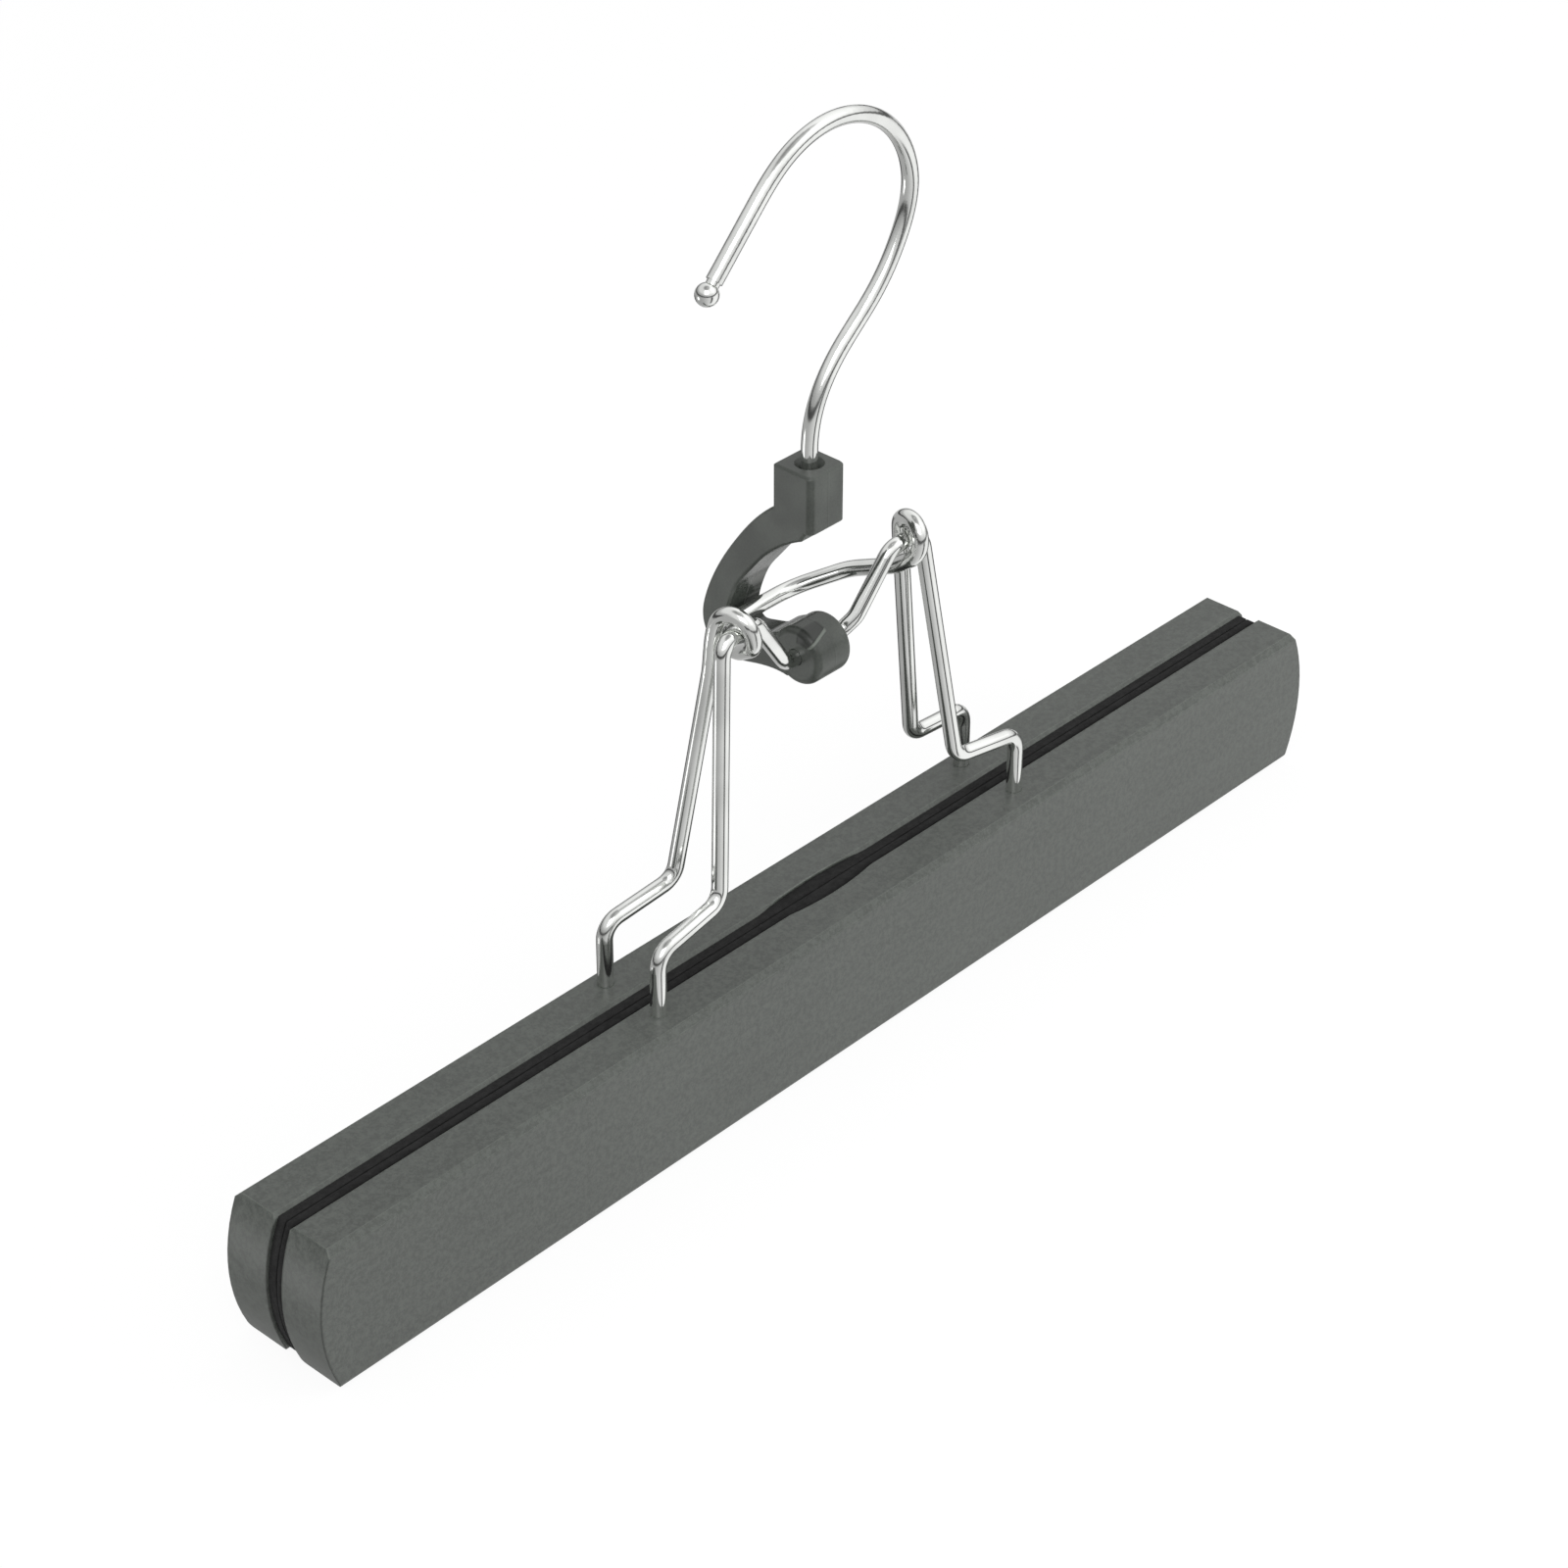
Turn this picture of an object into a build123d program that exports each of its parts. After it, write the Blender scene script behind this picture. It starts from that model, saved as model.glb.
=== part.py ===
from build123d import *
import math
import os

# Trouser clamp hanger: two lined bars on two wire yokes that hinge where the front
# wire runs through the loops of the rear one, a moulded lock lever that pivots on
# the front yoke and holds the bail of the rear yoke, and a hook that swivels in it.
# Lengths are in millimetres. While a piece is drawn, X runs along the bars,
# Y points to the rear bar and Z points up from the top face of the bars.
# Every piece is then moved so that the origin is where a rail carries the hook.

# Bars
bar_top_length = 250.0
bar_height = 28.4
bar_thickness = 9.4
bar_end_bulge = 3.2
bar_outer_bevel = 1.1
bar_inner_bevel = 0.7
bar_bottom_round = 1.0
jaw_gap = 3.6
scoop_length = 28.0
front_scoop_depth = 1.6
rear_scoop_depth = 1.0

# Linings
lining_closed_gap = 0.3
lining_inset = 0.5
lining_top_drop = 0.3
lining_scoop_slack = 0.1

# Wire
wire_diameter = 2.9
stub_x = 46.5
stub_depth = 19.0
stub_fit = 0.02
stub_end_space = 0.2
bend_radius = 3.6

# Hinge axis of the two yokes
pivot_y = -0.25
pivot_z = 61.3

# Front yoke, from its stub through the loop to the barrel of the lever
front_stub_y = -5.6
front_jog_outer_z = 12.2
front_jog_inner_x = 30.5
front_jog_inner_y = -4.7
front_jog_inner_z = 14.4
front_corner_x = 24.8
front_corner_radius = 3.5
front_run_end_x = 16.9
front_run_end_radius = 3.4
front_strand_bend = (9.3, 0.7, 50.8)
front_strand_radius = 5.0
barrel_corner_x = 6.7
barrel_corner_radius = 4.0
barrel_y = 2.2
barrel_z = 48.1

# Rear yoke, from its stub round the loop to the middle of its bail
rear_stub_y = 7.0
rear_jog_outer_z = 12.2
rear_jog_inner_x = 30.7
rear_jog_inner_y = 5.9
rear_jog_inner_z = 14.4
rear_leg_top = (24.2, 3.3, 53.0)
loop_start_x = 23.1
loop_pitch = 4.6
loop_turns = 0.66
loop_steps = 8
loop_radius_y = 3.3
loop_radius_z = 3.6
loop_lift = 0.2
loop_exit_reach = 3.6
loop_exit_radius = 6.0
bail_arm_bend = (16.9, 9.0, 53.7)
bail_arm_radius = 8.0
bail_corner_x = 9.6
bail_corner_radius = 9.0
bail_y = 16.0
bail_z = 50.2

# Lock lever
lever_width = 8.6
lever_edge_bevel = 0.4
block_corner_radius = 1.2
barrel_rim_radius = 1.3
barrel_radius = 5.4
barrel_running_gap = 0.06
block_front_y = -1.1
block_rear_y = 7.6
block_bottom_z = 72.8
block_top_z = 83.5
lever_outer_points = (
    (7.6, 75.2),
    (12.0, 71.0),
    (16.2, 65.6),
    (19.5, 60.5),
    (22.1, 55.4),
    (23.7, 51.0),
    (24.2, 47.4),
    (23.0, 44.2),
    (20.2, 42.3),
    (16.6, 41.7),
    (12.6, 42.5),
    (8.6, 43.3),
    (4.4, 43.3),
)
lever_inner_points = (
    (6.4, 51.2),
    (7.9, 50.5),
    (9.3, 49.6),
    (11.2, 47.9),
    (12.9, 47.3),
    (15.1, 46.7),
    (17.0, 46.6),
    (18.1, 47.9),
    (18.2, 50.2),
    (17.35, 53.3),
    (15.35, 57.6),
    (13.3, 60.25),
    (9.4, 65.0),
    (5.4, 68.4),
    (1.3, 70.8),
)

# Hook
hook_y = 3.2
shank_straight_z = 86.0
hook_points = (
    (1.4, 93.4),
    (6.7, 101.2),
    (15.3, 108.8),
    (21.3, 117.0),
    (23.9, 125.4),
    (21.1, 134.5),
    (13.0, 141.2),
    (3.0, 142.9),
    (-6.4, 139.8),
    (-14.2, 133.0),
)
hook_end = (-22.4, 124.6)
hook_neck_radius = 1.15
hook_neck_length = 0.7
hook_knob_radius = 2.0
head_radius = 2.4
head_height = 1.5
head_bottom_z = 74.0
head_edge_round = 0.3
shank_running_gap = 0.06
head_side_gap = 0.2
head_end_gap = 0.1
recess_radius = 2.6
recess_depth = 1.4

wire_radius = wire_diameter / 2
half_jaw = jaw_gap / 2
samples_per_diameter = 6
crest_samples = 4000
lining_thickness = (jaw_gap - lining_closed_gap) / 2


def unit(a, b):
    gap = math.dist(a, b)
    return tuple((q - p) / gap for p, q in zip(a, b))


def along(p, direction, reach):
    return tuple(a + d * reach for a, d in zip(p, direction))


def bent_path(points, radii):
    """Straight runs through the points, with an arc of the given radius at each inner one."""
    edges = []
    start = points[0]
    for before, corner, after, radius in zip(points, points[1:], points[2:], radii):
        back = unit(corner, before)
        ahead = unit(corner, after)
        cosine = sum(a * b for a, b in zip(back, ahead))
        half_angle = math.acos(cosine) / 2
        reach = radius / math.tan(half_angle)
        first = along(corner, back, reach)
        last = along(corner, ahead, reach)
        bisector = unit((0, 0, 0), tuple(a + b for a, b in zip(back, ahead)))
        middle = along(corner, bisector, radius / math.sin(half_angle) - radius)
        edges.append(Line(start, first))
        edges.append(ThreePointArc(first, middle, last))
        start = last
    edges.append(Line(start, points[-1]))
    return edges


def wire_tube(edges, start, direction):
    section = Plane(origin=start, z_dir=direction) * Circle(wire_radius)
    return sweep(section, path=Wire(edges))


def both_sides(half):
    return half + mirror(half, about=Plane.YZ)


def loop_point(turn):
    """Point on the loop: turn 0 is behind the hinge axis, a quarter turn is above it."""
    angle = turn * math.tau
    return (
        loop_start_x - loop_pitch * turn,
        pivot_y + loop_radius_y * math.cos(angle),
        pivot_z + loop_lift + loop_radius_z * math.sin(angle),
    )


def loop_direction(turn):
    angle = turn * math.tau
    return unit(
        (0, 0, 0),
        (
            -loop_pitch,
            -math.tau * loop_radius_y * math.sin(angle),
            math.tau * loop_radius_z * math.cos(angle),
        ),
    )


def bar_outline(inset):
    """End view of the bar's length: flat top and bottom, with a bulging arc at each end."""
    half_length = bar_top_length / 2 - inset
    low = -bar_height + inset
    middle = -bar_height / 2
    edges = [
        Line((-half_length, -inset), (half_length, -inset)),
        ThreePointArc(
            (half_length, -inset), (half_length + bar_end_bulge, middle), (half_length, low)
        ),
        Line((half_length, low), (-half_length, low)),
        ThreePointArc(
            (-half_length, low), (-half_length - bar_end_bulge, middle), (-half_length, -inset)
        ),
    ]
    return make_face(edges)


def slab(face, side, near, far):
    """Push the outline from one distance off the jaw plane to another, on one side of it."""
    solid = extrude(Plane.XZ.offset(-side * near) * face, amount=-side * (far - near))
    return solid


def scoop_tool(side, depth, slack):
    """Upright cylinder whose segment is the shallow scoop in a bar's inner face."""
    chord = scoop_length / 2
    radius = (chord ** 2 + depth ** 2) / (2 * depth)
    centre_y = side * (half_jaw + depth - radius)
    place = Pos(0, centre_y, -bar_height / 2)
    return place * Cylinder(radius - slack, 2 * bar_height)


def make_bar(side, stub_y, scoop_depth):
    near = half_jaw
    far = half_jaw + bar_thickness
    bar = slab(bar_outline(0), side, near, far)
    top_edges = bar.edges().filter_by(Axis.X).group_by(Axis.Z)[-1]
    ordered = sorted(top_edges, key=lambda e: abs(e.center().Y))
    inner_place = ordered[0].center()
    bar = chamfer(ordered[-1], bar_outer_bevel)
    top_edges = bar.edges().filter_by(Axis.X).group_by(Axis.Z)[-1]
    inner = sorted(top_edges, key=lambda e: (e.center() - inner_place).length)[0]
    bar = chamfer(inner, bar_inner_bevel)
    bar = fillet(bar.edges().filter_by(Axis.X).group_by(Axis.Z)[0], bar_bottom_round)
    bar -= scoop_tool(side, scoop_depth, 0)
    for x in (-stub_x, stub_x):
        hole_depth = stub_depth + stub_end_space
        hole = Cylinder(wire_radius + stub_fit, 2 * hole_depth)
        bar -= Pos(x, stub_y, 0) * hole
    return bar


def make_lining(side, scoop_depth):
    near = lining_closed_gap / 2
    pad = slab(bar_outline(lining_inset), side, near, half_jaw)
    drop = lining_top_drop
    lump = slab(bar_outline(lining_inset), side, near, half_jaw + scoop_depth)
    pad += lump & scoop_tool(side, scoop_depth, lining_scoop_slack)
    trim = Pos(0, 0, bar_height - drop) * Box(2 * bar_top_length, 4 * bar_thickness, 2 * bar_height)
    return pad - trim


def make_front_yoke():
    points = (
        (stub_x, front_stub_y, -stub_depth),
        (stub_x, front_stub_y, front_jog_outer_z),
        (front_jog_inner_x, front_jog_inner_y, front_jog_inner_z),
        (front_corner_x, pivot_y, pivot_z),
        (front_run_end_x, pivot_y, pivot_z),
        front_strand_bend,
        (barrel_corner_x, barrel_y, barrel_z),
        (0, barrel_y, barrel_z),
    )
    radii = (
        bend_radius,
        bend_radius,
        front_corner_radius,
        front_run_end_radius,
        front_strand_radius,
        barrel_corner_radius,
    )
    edges = bent_path(points, radii)
    return both_sides(wire_tube(edges, points[0], (0, 0, 1))), edges


def make_rear_yoke():
    points = (
        (stub_x, rear_stub_y, -stub_depth),
        (stub_x, rear_stub_y, rear_jog_outer_z),
        (rear_jog_inner_x, rear_jog_inner_y, rear_jog_inner_z),
        rear_leg_top,
    )
    edges = bent_path(points, (bend_radius, bend_radius))
    loop = [loop_point(loop_turns * i / loop_steps) for i in range(loop_steps + 1)]
    leg_direction = unit(points[2], rear_leg_top)
    exit_direction = loop_direction(loop_turns)
    directions = (leg_direction, exit_direction)
    edges.append(Spline(rear_leg_top, *loop, tangents=directions, tangent_scalars=(1, 1)))
    bail = (
        loop[-1],
        along(loop[-1], exit_direction, loop_exit_reach),
        bail_arm_bend,
        (bail_corner_x, bail_y, bail_z),
        (0, bail_y, bail_z),
    )
    edges += bent_path(bail, (loop_exit_radius, bail_arm_radius, bail_corner_radius))
    return both_sides(wire_tube(edges, points[0], (0, 0, 1))), edges


def make_arm():
    """C-shaped arm: its inner wall is the cam that the bail rides on."""
    half_width = lever_width / 2
    pivot_point = (barrel_y, barrel_z)
    block_start = lever_outer_points[0]
    throat_y = block_front_y + block_corner_radius
    edges = [
        Spline(*lever_outer_points),
        Line(lever_outer_points[-1], pivot_point),
        Line(pivot_point, lever_inner_points[0]),
        Spline(*lever_inner_points),
        Line(lever_inner_points[-1], (throat_y, block_bottom_z)),
        Line((throat_y, block_bottom_z), (throat_y, block_start[1])),
        Line((throat_y, block_start[1]), block_start),
    ]
    arm = extrude(Plane.YZ * make_face(edges), amount=half_width, both=True)
    rims = arm.edges().filter_by(lambda e: abs(abs(e.center().X) - half_width) < lever_edge_bevel)
    return chamfer(rims, lever_edge_bevel)


def make_block():
    """Block that holds the hook: rounded corners in front, bevelled ones behind and on top."""
    depth = block_rear_y - block_front_y
    height = block_top_z - block_bottom_z
    block = Box(lever_width, depth, height)
    upright = block.edges().filter_by(Axis.Z).group_by(Axis.Y)
    block = fillet(upright[0], block_corner_radius)
    rear = block.edges().filter_by(Axis.Z).group_by(Axis.Y)[-1]
    block = chamfer(rear, lever_edge_bevel)
    block = chamfer(block.edges().group_by(Axis.Z)[-1], lever_edge_bevel)
    return Pos(0, (block_front_y + block_rear_y) / 2, (block_top_z + block_bottom_z) / 2) * block


def make_lever():
    barrel = Rot(0, 90, 0) * Cylinder(barrel_radius, lever_width)
    barrel = fillet(barrel.edges().filter_by(GeomType.CIRCLE), barrel_rim_radius)
    lever = make_arm() + make_block() + Pos(0, barrel_y, barrel_z) * barrel

    bore_radius = wire_radius + barrel_running_gap
    bore = Rot(0, 90, 0) * Cylinder(bore_radius, 2 * lever_width)
    lever -= Pos(0, barrel_y, barrel_z) * bore

    shank_bore_height = block_top_z - head_bottom_z
    shank_bore = Cylinder(
        wire_radius + shank_running_gap, shank_bore_height, align=(Align.CENTER, Align.CENTER, Align.MIN)
    )
    lever -= Pos(0, hook_y, head_bottom_z) * shank_bore
    chamber = Cylinder(
        head_radius + head_side_gap,
        head_height + 2 * head_end_gap,
        align=(Align.CENTER, Align.CENTER, Align.MIN),
    )
    lever -= Pos(0, hook_y, head_bottom_z - head_end_gap) * chamber
    recess = Cone(
        wire_radius + shank_running_gap,
        recess_radius,
        recess_depth,
        align=(Align.CENTER, Align.CENTER, Align.MAX),
    )
    lever -= Pos(0, hook_y, block_top_z) * recess
    return lever


def hook_curve():
    """Curved part of the hook, from the straight shank to the rounded tip."""
    end = (hook_end[0], hook_y, hook_end[1])
    route = [(0, hook_y, shank_straight_z)] + [(x, hook_y, z) for x, z in hook_points]
    end_direction = unit(route[-1], end)
    directions = ((0, 0, 1), end_direction)
    return Spline(*route, end, tangents=directions, tangent_scalars=(1, 1)), end, end_direction


def make_hook():
    head = Cylinder(head_radius, head_height, align=(Align.CENTER, Align.CENTER, Align.MIN))
    head = fillet(head.edges().filter_by(GeomType.CIRCLE), head_edge_round)
    hook = Pos(0, hook_y, head_bottom_z) * head
    start = (0, hook_y, head_bottom_z + head_height / 2)
    curve, end, end_direction = hook_curve()
    edges = [Line(start, (0, hook_y, shank_straight_z)), curve]
    hook += wire_tube(edges, start, (0, 0, 1))
    neck_plane = Plane(origin=end, z_dir=end_direction)
    neck_length = hook_neck_length + hook_knob_radius
    neck = Cylinder(hook_neck_radius, neck_length, align=(Align.CENTER, Align.CENTER, Align.MIN))
    hook += neck_plane * neck
    knob_reach = hook_neck_length + math.sqrt(hook_knob_radius ** 2 - hook_neck_radius ** 2)
    hook += Pos(*along(end, end_direction, knob_reach)) * Sphere(hook_knob_radius)
    return hook


def seat_point():
    """Where a rail touches the wire: under the crest of the hook."""
    curve = hook_curve()[0]
    crest = max((curve @ (i / crest_samples) for i in range(crest_samples)), key=lambda p: p.Z)
    return (crest.X, hook_y, crest.Z - wire_radius)


def centreline(edges):
    step = wire_diameter / samples_per_diameter
    return [
        tuple(edge @ (i / count))
        for edge in edges
        for count in [max(1, math.ceil(edge.length / step))]
        for i in range(count)
    ]


def least_self_gap(points):
    """Smallest gap between a wire and itself, over points well apart along it."""
    apart = 4 * samples_per_diameter
    spans = [
        math.dist(points[i], points[j])
        for i in range(len(points))
        for j in range(i + apart, len(points))
    ]
    return min(spans) - wire_diameter


def least_gap(points, others):
    return min(math.dist(p, q) for p in points for q in others) - wire_diameter


front_yoke, front_edges = make_front_yoke()
rear_yoke, rear_edges = make_rear_yoke()
front_points = centreline(front_edges)
rear_points = centreline(rear_edges)
print("least gap of the looped wire to itself", round(least_self_gap(rear_points), 2))
print("least gap between the two wires", round(least_gap(front_points, rear_points), 2))

parts = {
    "hook": make_hook(),
    "lock_lever": make_lever(),
    "front_yoke": front_yoke,
    "rear_yoke": rear_yoke,
    "front_bar": make_bar(-1, front_stub_y, front_scoop_depth),
    "rear_bar": make_bar(1, rear_stub_y, rear_scoop_depth),
    "front_lining": make_lining(-1, front_scoop_depth),
    "rear_lining": make_lining(1, rear_scoop_depth),
}

seat = seat_point()
print("seat of the rail", [round(value, 3) for value in seat])
to_seat = Pos(*(-value for value in seat))
os.makedirs("parts", exist_ok=True)
for node, shape in parts.items():
    placed = to_seat * shape
    export_step(placed, f"parts/{node}.step")
    box = placed.bounding_box()
    print(node, len(placed.solids()), "solid", round(placed.volume), "mm3", box.size)
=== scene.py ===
import math

import bmesh
import bpy
from mathutils import Matrix, Vector, noise


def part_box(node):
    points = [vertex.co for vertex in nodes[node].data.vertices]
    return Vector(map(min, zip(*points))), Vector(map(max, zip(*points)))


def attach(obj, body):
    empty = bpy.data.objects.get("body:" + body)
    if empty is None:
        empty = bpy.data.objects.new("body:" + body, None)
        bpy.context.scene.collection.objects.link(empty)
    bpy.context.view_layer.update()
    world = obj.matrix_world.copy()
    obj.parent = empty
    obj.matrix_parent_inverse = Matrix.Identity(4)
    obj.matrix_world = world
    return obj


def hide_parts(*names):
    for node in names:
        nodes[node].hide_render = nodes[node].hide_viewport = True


bl_info = {
    "name": "Trouser Hanger Looks",
    "version": (1, 0, 0),
    "blender": (4, 5, 0),
    "location": "View3D > Sidebar > Hanger",
    "description": "Dresses the trouser hanger in plated wire, lacquer, plastic and felt",
    "category": "Object",
}

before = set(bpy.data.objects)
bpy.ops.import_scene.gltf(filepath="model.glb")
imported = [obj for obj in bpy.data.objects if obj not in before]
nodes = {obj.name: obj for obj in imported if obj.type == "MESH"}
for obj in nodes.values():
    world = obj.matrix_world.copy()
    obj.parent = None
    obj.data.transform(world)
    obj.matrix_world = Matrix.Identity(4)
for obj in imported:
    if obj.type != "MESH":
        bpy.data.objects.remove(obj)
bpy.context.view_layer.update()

# Places in the frame of the CAD model, in metres
MIDDLE_X = sum(corner.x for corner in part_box("front_bar")) / 2
BAR_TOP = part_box("front_bar")[1].z
BAR_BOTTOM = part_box("front_bar")[0].z
BARREL = Vector((MIDDLE_X, -0.001, -0.093417))
BARREL_NECK = (-0.0868, -0.0866)
LEVER_HALF_WIDTH = 0.0043
CAM_HOLLOW = Vector((MIDDLE_X, 0.0063, -0.0845))
CAM_TOP = (-0.071, -0.0735)
CAMERA_AIM = Vector((-0.001775, 0.008123, -0.126822))
LAMP_AIM = Vector((MIDDLE_X, 0, -0.1))
FLOOR_GAP = 0.0003

# Offset of each lamp from the point that it lights, and its width, in metres
LAMPS = {
    "key": ((-0.55, -0.45, 0.75), 0.6),
    "fill": ((0.36, -0.46, 0.12), 0.3),
    "rim": ((-0.82, 0.56, -0.02), 0.3),
}
# Where the small bright card hangs that puts a sheen on the bars' left ends
CARD_DIRECTION = (-0.73, 0.56, -0.39)

FLOOR_COLOUR = (0.86, 0.86, 0.86, 1)
FLOOR_GLOW = 1.06
FLOOR_GLOW_SHARE = 0.86
WHITE = (1, 1, 1, 1)
EDGE_SAMPLES = 6
FIBRES_PER_METRE = 900
TUFTS_PER_METRE = 260


class Field:
    """A number that varies over a surface. Python's operators on it add Math nodes."""

    def __init__(self, shader, socket):
        self.shader = shader
        self.socket = socket

    def maths(self, operation, *terms):
        settings = {"operation": operation}
        return self.shader.field("ShaderNodeMath", settings, dict(enumerate(terms)))

    def __add__(self, other):
        return self.maths("ADD", self, other)

    __radd__ = __add__

    def __sub__(self, other):
        return self.maths("SUBTRACT", self, other)

    def __rsub__(self, other):
        return self.maths("SUBTRACT", other, self)

    def __mul__(self, other):
        return self.maths("MULTIPLY", self, other)

    __rmul__ = __mul__

    def __truediv__(self, other):
        return self.maths("DIVIDE", self, other)

    def __pow__(self, power):
        return self.maths("POWER", self, power)

    def __abs__(self):
        return self.maths("ABSOLUTE", self)

    def smaller(self, other):
        return self.maths("MINIMUM", self, other)

    def larger(self, other):
        return self.maths("MAXIMUM", self, other)

    def rise(self, low, high, start=0.0, end=1.0):
        """Goes smoothly from start to end as this number goes from low to high."""
        settings = {"interpolation_type": "SMOOTHSTEP"}
        span = {"Value": self, "From Min": low, "From Max": high, "To Min": start, "To Max": end}
        return self.shader.field("ShaderNodeMapRange", settings, span)


class Shader:
    """A node tree that is filled through one method."""

    def __init__(self, tree):
        self.tree = tree
        tree.nodes.clear()

    def node(self, kind, settings=None, inputs=None):
        made = self.tree.nodes.new(kind)
        for name, setting in (settings or {}).items():
            setattr(made, name, setting)
        for name, given in (inputs or {}).items():
            given = given.socket if isinstance(given, Field) else given
            if isinstance(given, bpy.types.NodeSocket):
                self.tree.links.new(given, made.inputs[name])
            else:
                made.inputs[name].default_value = given
        return made

    def field(self, kind, settings=None, inputs=None, output=0):
        return Field(self, self.node(kind, settings, inputs).outputs[output])

    def place(self, centre=(0, 0, 0), scale=(1, 1, 1)):
        """Object coordinates measured from a centre, then stretched."""
        point = self.node("ShaderNodeTexCoord").outputs["Object"]
        shift = tuple(-middle * stretch for middle, stretch in zip(centre, scale))
        inputs = {"Vector": point, "Location": shift, "Scale": tuple(scale)}
        return self.node("ShaderNodeMapping", None, inputs).outputs[0]

    def axes(self, vector):
        parts = self.node("ShaderNodeSeparateXYZ", None, {0: vector})
        return [Field(self, socket) for socket in parts.outputs]

    def cloud(self, scale, detail=2.0, rough=0.5, stretch=(1, 1, 1)):
        """Soft random pattern from 0 to 1, in object space."""
        inputs = {"Scale": scale, "Detail": detail, "Roughness": rough}
        inputs["Vector"] = self.place(scale=stretch)
        return self.field("ShaderNodeTexNoise", None, inputs)

    def likeness(self, first, second):
        """Dot product of two directions."""
        settings = {"operation": "DOT_PRODUCT"}
        return self.field("ShaderNodeVectorMath", settings, {0: first, 1: second}, "Value")

    def rounded(self, radius):
        """The surface's normal with its sharp edges rounded off."""
        bevel = self.node("ShaderNodeBevel", {"samples": EDGE_SAMPLES}, {"Radius": radius})
        return bevel.outputs[0]

    def edges(self, radius):
        """1 along sharp edges and 0 on flat ground."""
        flat = self.node("ShaderNodeNewGeometry").outputs["Normal"]
        return (1 - self.likeness(self.rounded(radius), flat)).rise(0.01, 0.22)

    def blend_colours(self, amount, first, second):
        """From the first colour at 0 to the second at 1. Each is a colour or a socket."""
        inputs = {0: amount}
        for place, given in ((6, first), (7, second)):
            inputs[place] = given if isinstance(given, bpy.types.NodeSocket) else (*given, 1)
        return self.node("ShaderNodeMix", {"data_type": "RGBA"}, inputs).outputs[2]

    def bump(self, height, distance, strength=1.0, rounding=0.0):
        """Raised detail; the rounding makes sharp edges catch the light like edges rounded off by
        use.
        """
        inputs = {"Height": height, "Distance": distance, "Strength": strength}
        if rounding:
            inputs["Normal"] = self.rounded(rounding)
        return self.node("ShaderNodeBump", None, inputs).outputs[0]

    def surface(self, **inputs):
        """Principled surface; underscores in the names stand for spaces."""
        named = {name.replace("_", " "): given for name, given in inputs.items()}
        bsdf = self.node("ShaderNodeBsdfPrincipled", None, named)
        self.node("ShaderNodeOutputMaterial", None, {"Surface": bsdf.outputs[0]})
        return bsdf


def new_material(name):
    material = bpy.data.materials.new(name)
    material.use_nodes = True
    return material, Shader(material.node_tree)


def dress(names, material):
    for name in names:
        mesh = nodes[name].data
        mesh.materials.clear()
        mesh.materials.append(material)


def tint(colour, share):
    return tuple(part * share for part in colour)


def plated_wire(finish):
    """Bright plate with faint draw marks along its length and smudges in the gloss."""
    material, shader = new_material("plated_wire")
    smudge = shader.cloud(90, 3)
    draw = shader.cloud(700, 1, 0.5, (1, 1, 0.12))
    colour = shader.blend_colours(smudge.rise(0.35, 0.7), finish.wire, tint(finish.wire, 0.86))
    rough = smudge.rise(0.3, 0.75, finish.wire_rough * 0.7, finish.wire_rough * 1.6)
    shader.surface(
        Base_Color=colour,
        Metallic=1.0,
        Roughness=rough,
        Normal=shader.bump(draw, 0.00001, 0.35),
    )
    return material


def sprayed_lacquer(finish):
    """Matt lacquer over wood: specks, grain that just shows, a painted highlight along the top
    edges and painted shade along the other sharp edges.
    """
    material, shader = new_material("sprayed_lacquer")
    specks = shader.cloud(900, 3, 0.85)
    haze = shader.cloud(26, 3)
    grain = shader.cloud(420, 3, 0.6, (0.035, 1, 1))
    peel = shader.cloud(520, 2)
    edge = shader.edges(0.0007)
    on_top = shader.axes(shader.place())[2].rise(BAR_TOP - 0.0018, BAR_TOP - 0.0008)
    # Painted highlight: sharp edges at the top of the bars are coloured up to 2.6 times lighter, in
    # patches
    painted_sheen_and_rubbed_smooth = edge * on_top * shader.cloud(160, 2).rise(0.25, 0.6, 0.5, 1.0)
    # Painted shade: the other sharp edges, such as the upright corners, are coloured darker as a
    # thin dark outline
    painted_edge_shade = edge * (1 - on_top) * 0.55
    tone = specks.rise(0.36, 0.64) * 0.7
    tone = tone + haze.rise(0.3, 0.7) * 0.12 + grain.rise(0.3, 0.7) * 0.18
    ground = shader.blend_colours(tone, tint(finish.lacquer, 0.7), tint(finish.lacquer, 1.3))
    # Painted shade along those edges
    ground_with_painted_edge_shade = shader.blend_colours(painted_edge_shade, ground, tint(finish.lacquer, 0.3))
    # Painted highlight laid over the top edges
    colour = shader.blend_colours(painted_sheen_and_rubbed_smooth, ground_with_painted_edge_shade, tint(finish.lacquer, 2.6))
    rough = specks.rise(0.2, 0.8, finish.lacquer_rough - 0.05, finish.lacquer_rough + 0.07)
    height = grain * 0.45 + peel * 0.4 + specks * 0.15
    shader.surface(
        Base_Color=colour,
        Roughness=rough,
        Normal=shader.bump(height, 0.00005, 0.55, 0.0006),
        Specular_IOR_Level=0.45,
        Coat_Weight=0.08,
        Coat_Roughness=0.35,
    )
    return material


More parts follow.
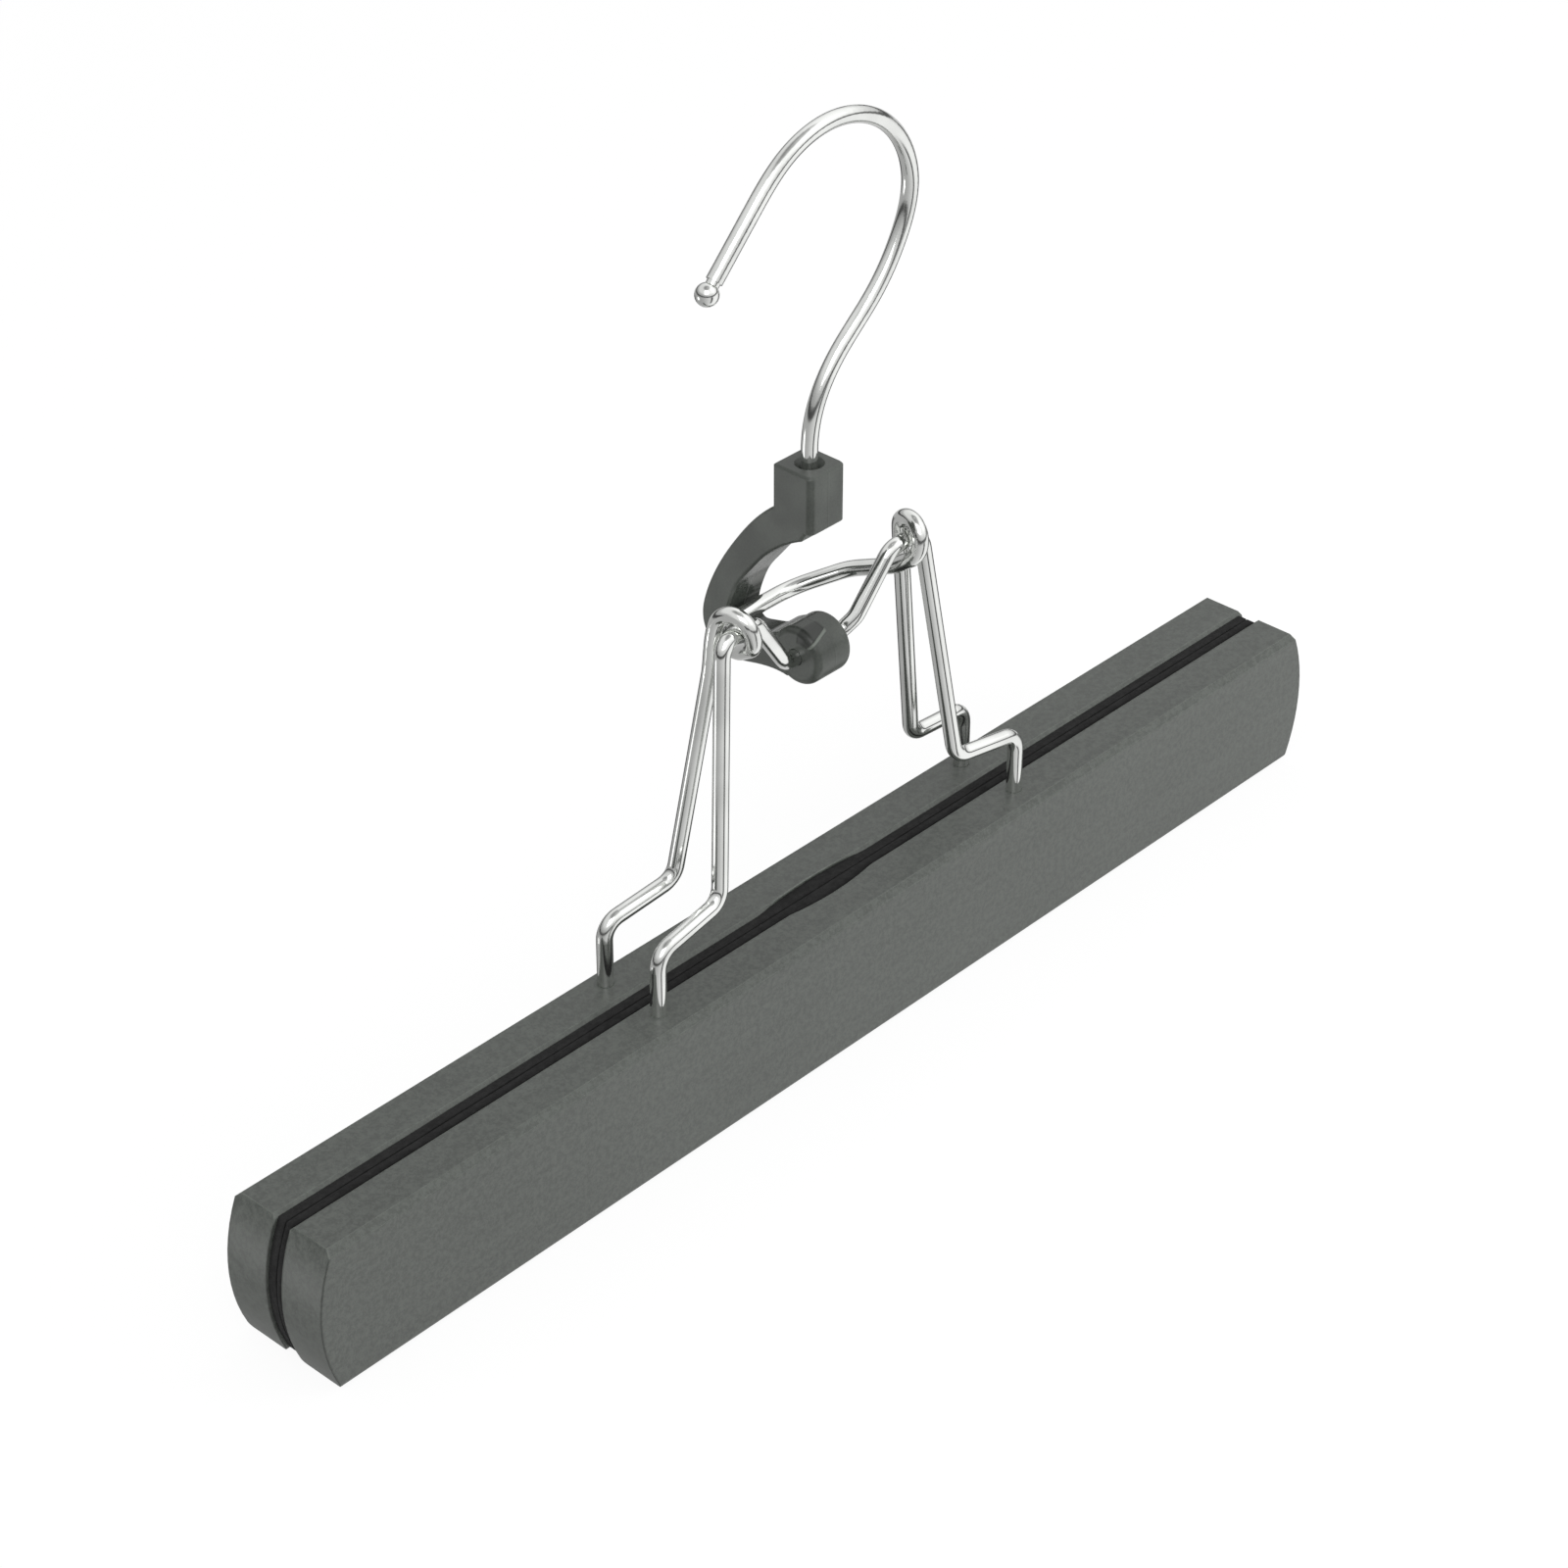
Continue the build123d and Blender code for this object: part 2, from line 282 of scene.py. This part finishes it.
def moulded_plastic(finish):
    """Fine mould texture, a parting line, raised rims along the snap slot with a painted highlight
    on them and painted shade in the slot between them, a painted highlight along the sharp edges,
    and a cam face polished smooth by use.
    """
    material, shader = new_material("moulded_plastic")
    x, y, z = shader.axes(shader.place(MIDDLE_X * Vector((1, 0, 0))))
    outward = shader.node("ShaderNodeTexCoord").outputs["Normal"]
    facing = shader.likeness(shader.place(CAM_HOLLOW), outward)
    painted_sheen_and_rubbed_smooth = facing.rise(-0.0035, -0.006) * z.rise(*CAM_TOP)
    texture = shader.cloud(2300, 2, 0.6)
    flow = shader.cloud(150, 2)
    parting = abs(x).rise(0.00022, 0.00008)
    from_left = x + LEVER_HALF_WIDTH
    angle = x.maths("ARCTAN2", BARREL.y - y, z - BARREL.z)
    slot_edge = 0.82 - from_left * 65
    on_barrel = z.rise(BARREL.z + 0.0025, BARREL.z + 0.003) * (1 - z.rise(*BARREL_NECK))
    reach = from_left.rise(0.0047, 0.0042) * on_barrel
    # Raised rims along the snap slot: a bump, and a painted highlight in the colour
    lip_with_painted_highlight = abs(angle - slot_edge).rise(0.075, 0.03) * reach
    # The slot between the rims: a hollow in the bump, and painted shade darkening its colour
    mouth_with_painted_shade = (slot_edge - angle).rise(0.05, 0.1) * angle.rise(0.02, 0.14) * reach
    # Painted highlight: the lever's sharp edges are coloured lighter
    painted_edge_highlight = shader.edges(0.0005)
    tone = flow.rise(0.3, 0.7) * 0.6 + texture.rise(0.3, 0.7) * 0.4
    ground = shader.blend_colours(tone, tint(finish.plastic, 0.72), tint(finish.plastic, 1.28))
    # Painted highlight: the edges and the slot's raised rims are coloured up to 3.2 times lighter
    painted_highlight = (painted_edge_highlight * 0.4 + lip_with_painted_highlight * 0.7).smaller(1)
    # Painted shade darkens the slot between the rims
    shaded = shader.blend_colours(mouth_with_painted_shade * 0.75, ground, tint(finish.plastic, 0.25))
    colour = shader.blend_colours(painted_highlight, shaded, tint(finish.plastic, 3.2))
    rough = texture.rise(0.2, 0.8, finish.plastic_rough - 0.05, finish.plastic_rough + 0.06)
    height = texture * 0.12 * (1 - painted_sheen_and_rubbed_smooth) + parting * 0.3 + lip_with_painted_highlight * 1.5 - mouth_with_painted_shade * 0.8
    shader.surface(
        Base_Color=colour,
        Roughness=rough * (1 - painted_sheen_and_rubbed_smooth * 0.6),
        Normal=shader.bump(height, 0.0001, 0.6, 0.0003),
        Specular_IOR_Level=0.5,
    )
    return material


def pressed_felt(finish):
    """Dense felt: matted fibres that run every way, and a little lint."""
    material, shader = new_material("pressed_felt")
    matted = shader.cloud(700, 4, 0.7)
    across = shader.cloud(1100, 2, 0.6, (0.2, 1, 1))
    upright = shader.cloud(1100, 2, 0.6, (1, 1, 0.2))
    lint = shader.cloud(420, 1).rise(0.68, 0.78)
    fibres = matted * 0.5 + across * 0.25 + upright * 0.25
    amount = fibres.rise(0.35, 0.65) * 0.75 + lint * 0.25
    colour = shader.blend_colours(amount, tint(finish.felt, 0.7), tint(finish.felt, 1.5))
    shader.surface(
        Base_Color=colour,
        Roughness=fibres.rise(0.3, 0.7, 0.88, 1.0),
        Normal=shader.bump(fibres, 0.00025, 0.9),
        Specular_IOR_Level=0.1,
        Sheen_Weight=0.03,
        Sheen_Roughness=0.5,
    )
    return material


class HangerFinish(bpy.types.PropertyGroup):
    """Colours and gloss of the hanger's four finishes."""

    wire: bpy.props.FloatVectorProperty(
        name="Plate", description="Colour of the plated wire", subtype="COLOR", size=3,
        min=0, max=1, default=(0.86, 0.87, 0.85),
    )
    wire_rough: bpy.props.FloatProperty(
        name="Plate roughness", description="How dull the plate is", subtype="FACTOR",
        min=0, max=1, default=0.11,
    )
    lacquer: bpy.props.FloatVectorProperty(
        name="Lacquer", description="Colour of the bars", subtype="COLOR", size=3,
        min=0, max=1, default=(0.08, 0.088, 0.079),
    )
    lacquer_rough: bpy.props.FloatProperty(
        name="Lacquer roughness", description="How matt the lacquer is", subtype="FACTOR",
        min=0.1, max=0.9, default=0.34,
    )
    plastic: bpy.props.FloatVectorProperty(
        name="Plastic", description="Colour of the lock lever", subtype="COLOR", size=3,
        min=0, max=1, default=(0.061, 0.068, 0.06),
    )
    plastic_rough: bpy.props.FloatProperty(
        name="Plastic roughness", description="How matt the lever is", subtype="FACTOR",
        min=0.1, max=0.9, default=0.33,
    )
    felt: bpy.props.FloatVectorProperty(
        name="Felt", description="Colour of the linings", subtype="COLOR", size=3,
        min=0, max=1, default=(0.024, 0.024, 0.024),
    )


class HangerLinings(bpy.types.PropertyGroup):
    """Sizes of the felt pads, which follow the outline of the bars."""

    end_bulge: bpy.props.FloatProperty(
        name="End bulge", description="How far each end curves out at half height",
        unit="LENGTH", default=0.0032,
    )
    scoop_length: bpy.props.FloatProperty(
        name="Scoop length", description="Length of the hollow in the bar that the pad fills",
        unit="LENGTH", default=0.028,
    )
    edge_round: bpy.props.FloatProperty(
        name="Edge round", description="Rounding of the pad's face along its rim",
        unit="LENGTH", default=0.00015,
    )
    loft: bpy.props.FloatProperty(
        name="Loft", description="How far the felt's face stands past the pad's solid",
        unit="LENGTH", default=0.00006,
    )
    nap: bpy.props.FloatProperty(
        name="Nap", description="Unevenness of the felt's face", unit="LENGTH", default=0.00006,
    )
    cell: bpy.props.FloatProperty(
        name="Cell", description="Spacing of the pad's faces", unit="LENGTH", default=0.0011,
    )


class HangerStage(bpy.types.PropertyGroup):
    """Camera, floor and light around the hanger."""

    azimuth: bpy.props.FloatProperty(
        name="Azimuth", description="How far the camera stands round from the front, to the left",
        subtype="ANGLE", default=math.radians(47.394),
    )
    elevation: bpy.props.FloatProperty(
        name="Elevation", description="How far above the horizon the camera stands",
        subtype="ANGLE", default=math.radians(33.638),
    )
    roll: bpy.props.FloatProperty(
        name="Roll", description="Turn of the camera about its own line of sight",
        subtype="ANGLE", default=math.radians(0.172),
    )
    distance: bpy.props.FloatProperty(
        name="Distance", description="From the aim point to the camera", unit="LENGTH",
        default=0.684633,
    )
    lens: bpy.props.FloatProperty(
        name="Lens", description="Focal length for a 36 mm sensor", unit="CAMERA", default=89.071,
    )
    floor: bpy.props.FloatProperty(
        name="Floor size", description="Width of the square floor", unit="LENGTH", default=6.0,
    )
    ambient: bpy.props.FloatProperty(
        name="Ambient", description="Light from all round", min=0, default=0.63,
    )
    key: bpy.props.FloatProperty(
        name="Key light", description="Power of the large lamp high at the left front",
        unit="POWER", default=2.2,
    )
    rim: bpy.props.FloatProperty(
        name="Rim light", description="Power of the small lamp at the left rear",
        unit="POWER", default=1.5,
    )
    fill: bpy.props.FloatProperty(
        name="Fill light", description="Power of the lamp at the right front", unit="POWER",
        default=1.3,
    )


class HANGER_OT_plate_wires(bpy.types.Operator):
    """Give the hook and both wire yokes their bright plate"""

    bl_idname = "hanger.plate_wires"
    bl_label = "Plate the Wires"

    def execute(self, context):
        dress(("hook", "front_yoke", "rear_yoke"), plated_wire(context.scene.hanger_finish))
        return {"FINISHED"}


class HANGER_OT_lacquer_bars(bpy.types.Operator):
    """Give both bars their matt lacquer"""

    bl_idname = "hanger.lacquer_bars"
    bl_label = "Lacquer the Bars"

    def execute(self, context):
        dress(("front_bar", "rear_bar"), sprayed_lacquer(context.scene.hanger_finish))
        return {"FINISHED"}


class HANGER_OT_mould_lever(bpy.types.Operator):
    """Give the lock lever its moulded plastic"""

    bl_idname = "hanger.mould_lever"
    bl_label = "Mould the Lever"

    def execute(self, context):
        dress(("lock_lever",), moulded_plastic(context.scene.hanger_finish))
        return {"FINISHED"}


class HANGER_OT_lay_linings(bpy.types.Operator):
    """Make the two felt pads that line the jaws"""

    bl_idname = "hanger.lay_linings"
    bl_label = "Lay the Linings"

    def execute(self, context):
        felt = pressed_felt(context.scene.hanger_finish)
        sizes = context.scene.hanger_linings
        for side, node, body in ((-1, "front_lining", "front_set"), (1, "rear_lining", "rear_set")):
            pad = self.pad(node, side, sizes)
            pad.data.materials.append(felt)
            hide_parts(node)
            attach(pad, body)
        return {"FINISHED"}

    def pad(self, node, side, sizes):
        low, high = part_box(node)
        face_y = (high.y if side < 0 else low.y) - side * sizes.loft
        back_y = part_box(node.replace("lining", "bar"))[1 if side < 0 else 0].y
        lump = abs((low.y if side < 0 else high.y) - back_y)
        length = high.x - low.x - 2 * sizes.end_bulge
        height = high.z - low.z
        middle = (low + high) / 2

        bm = bmesh.new()
        columns = math.ceil(length / sizes.cell)
        rows = math.ceil(height / sizes.cell)
        bmesh.ops.create_grid(bm, x_segments=columns, y_segments=rows, size=0.5)
        bmesh.ops.scale(bm, vec=(length, height, 1), verts=bm.verts)
        bmesh.ops.rotate(bm, matrix=Matrix.Rotation(math.pi / 2, 3, "X"), verts=bm.verts)
        back = bmesh.ops.extrude_face_region(bm, geom=bm.faces[:])["geom"]
        back = [v for v in back if isinstance(v, bmesh.types.BMVert)]
        bmesh.ops.translate(bm, vec=(0, back_y - face_y, 0), verts=back)
        bmesh.ops.recalc_face_normals(bm, faces=bm.faces)
        rim = [e for e in bm.edges if e.calc_face_angle(0) > 1 and abs(e.verts[0].co.y) < 1e-6]
        bmesh.ops.bevel(
            bm,
            geom=rim,
            offset=sizes.edge_round,
            segments=3,
            profile=0.5,
            affect="EDGES",
            material=-1,
        )
        thickness = abs(back_y - face_y)
        for v in bm.verts:
            share = 2 * v.co.z / height
            v.co.x *= 1 + sizes.end_bulge * (1 - share ** 2) / (length / 2)
            depth = abs(v.co.y) / thickness
            hollow = 1 - (2 * v.co.x / sizes.scoop_length) ** 2
            if depth > 0.99 and hollow > 0:
                v.co.y += side * lump * hollow
            fibres = noise.noise(v.co * FIBRES_PER_METRE)
            tufts = noise.noise(v.co * TUFTS_PER_METRE)
            nap = fibres * 0.6 + tufts * 0.4
            v.co.y += side * sizes.nap * (nap + 0.3) * (1 - depth)
            v.co.y += face_y
            v.co.x += middle.x
            v.co.z += middle.z
        bmesh.ops.recalc_face_normals(bm, faces=bm.faces)
        mesh = bpy.data.meshes.new(node.replace("lining", "felt"))
        bm.to_mesh(mesh)
        bm.free()
        mesh.shade_smooth()
        pad = bpy.data.objects.new(mesh.name, mesh)
        bpy.context.scene.collection.objects.link(pad)
        return pad


class HANGER_OT_set_stage(bpy.types.Operator):
    """Set up the white floor, the light and the camera"""

    bl_idname = "hanger.set_stage"
    bl_label = "Set the Stage"

    def execute(self, context):
        stage = context.scene.hanger_stage
        self.floor(stage)
        self.world(stage)
        self.lamps(stage)
        self.camera(stage)
        context.scene.view_settings.view_transform = "Standard"
        return {"FINISHED"}

    def floor(self, stage):
        bm = bmesh.new()
        bmesh.ops.create_grid(bm, x_segments=1, y_segments=1, size=stage.floor / 2)
        bmesh.ops.translate(bm, vec=(0, 0, BAR_BOTTOM - FLOOR_GAP), verts=bm.verts)
        mesh = bpy.data.meshes.new("floor")
        bm.to_mesh(mesh)
        bm.free()
        material, shader = new_material("white_floor")
        lit = shader.node("ShaderNodeBsdfDiffuse", None, {"Color": FLOOR_COLOUR})
        white = shader.node("ShaderNodeEmission", None, {"Strength": FLOOR_GLOW})
        light_path = shader.node("ShaderNodeLightPath")
        seen = Field(shader, light_path.outputs["Is Camera Ray"])
        both = {0: seen * FLOOR_GLOW_SHARE, 1: lit.outputs[0], 2: white.outputs[0]}
        mix = shader.node("ShaderNodeMixShader", None, both)
        shader.node("ShaderNodeOutputMaterial", None, {"Surface": mix.outputs[0]})
        mesh.materials.append(material)
        floor = bpy.data.objects.new("floor", mesh)
        floor.visible_glossy = False
        bpy.context.scene.collection.objects.link(floor)

    def world(self, stage):
        """White to the camera, even to matt surfaces, and a studio with dark gaps to gloss."""
        world = bpy.data.worlds.new("studio")
        world.use_nodes = True
        bpy.context.scene.world = world
        shader = Shader(world.node_tree)
        direction = shader.node("ShaderNodeTexCoord").outputs["Generated"]
        x, y, z = shader.axes(direction)
        aside, along = math.cos(stage.azimuth), math.sin(stage.azimuth)
        flat = (x * x + y * y) ** 0.5 + 0.0001
        across = (x * aside - y * along) / flat
        ahead = (x * along + y * aside) / flat

        horizon = abs(z - 0.06).rise(0.14, 0.05)
        behind = ahead.rise(0.45, 0.8) * abs(z + 0.5).rise(0.2, 0.1)
        side = abs(across - 0.72).rise(0.14, 0.06) * abs(z + 0.45).rise(0.5, 0.3)
        roof = z.rise(0.86, 0.97) * 0.7
        dark = horizon.larger(behind).larger(side).larger(roof)

        walls = across.rise(-1, 1, 0.42, 0.8)
        ceiling = z.rise(0.25, 0.6) * 0.38
        window = across.rise(0.84, 0.98) * 0.22
        card = shader.likeness(direction, CARD_DIRECTION).rise(0.975, 0.995) * 1.7
        studio = (walls + ceiling + window) * (1 - dark * 0.87) + card

        path = shader.node("ShaderNodeLightPath")
        camera = Field(shader, path.outputs["Is Camera Ray"])
        glossy = Field(shader, path.outputs["Is Glossy Ray"])
        even = stage.ambient * (1 - camera) * (1 - glossy)
        strength = camera + glossy * studio + even
        light = {"Color": WHITE, "Strength": strength}
        background = shader.node("ShaderNodeBackground", None, light)
        shader.node("ShaderNodeOutputWorld", None, {"Surface": background.outputs[0]})

    def lamps(self, stage):
        for name, (offset, size) in LAMPS.items():
            lamp = bpy.data.lights.new(name, "AREA")
            lamp.shape = "SQUARE"
            lamp.size = size
            lamp.energy = getattr(stage, name)
            thing = bpy.data.objects.new(name, lamp)
            turn = (-Vector(offset)).to_track_quat("-Z", "Y").to_matrix().to_4x4()
            thing.matrix_world = Matrix.Translation(LAMP_AIM + Vector(offset)) @ turn
            thing.visible_camera = False
            thing.visible_glossy = name == "key"
            bpy.context.scene.collection.objects.link(thing)

    def camera(self, stage):
        ground = math.cos(stage.elevation)
        towards = Vector(
            (
                -math.sin(stage.azimuth) * ground,
                -math.cos(stage.azimuth) * ground,
                math.sin(stage.elevation),
            )
        )
        right = Vector((math.cos(stage.azimuth), -math.sin(stage.azimuth), 0))
        right = Matrix.Rotation(stage.roll, 3, towards) @ right
        up = towards.cross(right)
        place = CAMERA_AIM + towards * stage.distance
        axes = Matrix((right, up, towards)).transposed().to_4x4()
        camera = bpy.data.cameras.new("camera")
        camera.sensor_width = 36
        camera.lens = stage.lens
        camera.clip_start = 0.01
        camera.clip_end = 20
        thing = bpy.data.objects.new("camera", camera)
        thing.matrix_world = Matrix.Translation(place) @ axes
        bpy.context.scene.collection.objects.link(thing)
        bpy.context.scene.camera = thing


OPERATORS = (
    HANGER_OT_plate_wires,
    HANGER_OT_lacquer_bars,
    HANGER_OT_mould_lever,
    HANGER_OT_lay_linings,
    HANGER_OT_set_stage,
)
GROUPS = (
    ("hanger_finish", HangerFinish),
    ("hanger_linings", HangerLinings),
    ("hanger_stage", HangerStage),
)


class HANGER_PT_looks(bpy.types.Panel):
    """Sizes, colours and steps of the hanger's looks"""

    bl_label = "Trouser Hanger"
    bl_idname = "HANGER_PT_looks"
    bl_space_type = "VIEW_3D"
    bl_region_type = "UI"
    bl_category = "Hanger"

    def draw(self, context):
        for name, group in GROUPS:
            box = self.layout.box()
            settings = getattr(context.scene, name)
            for field in group.__annotations__:
                box.prop(settings, field)
        for operator in OPERATORS:
            self.layout.operator(operator.bl_idname)


def register():
    for name, group in GROUPS:
        bpy.utils.register_class(group)
        setattr(bpy.types.Scene, name, bpy.props.PointerProperty(type=group))
    for operator in OPERATORS:
        bpy.utils.register_class(operator)
    bpy.utils.register_class(HANGER_PT_looks)


def unregister():
    bpy.utils.unregister_class(HANGER_PT_looks)
    for operator in reversed(OPERATORS):
        bpy.utils.unregister_class(operator)
    for name, group in reversed(GROUPS):
        delattr(bpy.types.Scene, name)
        bpy.utils.unregister_class(group)


def main():
    register()
    bpy.ops.hanger.plate_wires()
    bpy.ops.hanger.lacquer_bars()
    bpy.ops.hanger.mould_lever()
    bpy.ops.hanger.lay_linings()
    bpy.ops.hanger.set_stage()


if __name__ == "__main__":
    main()
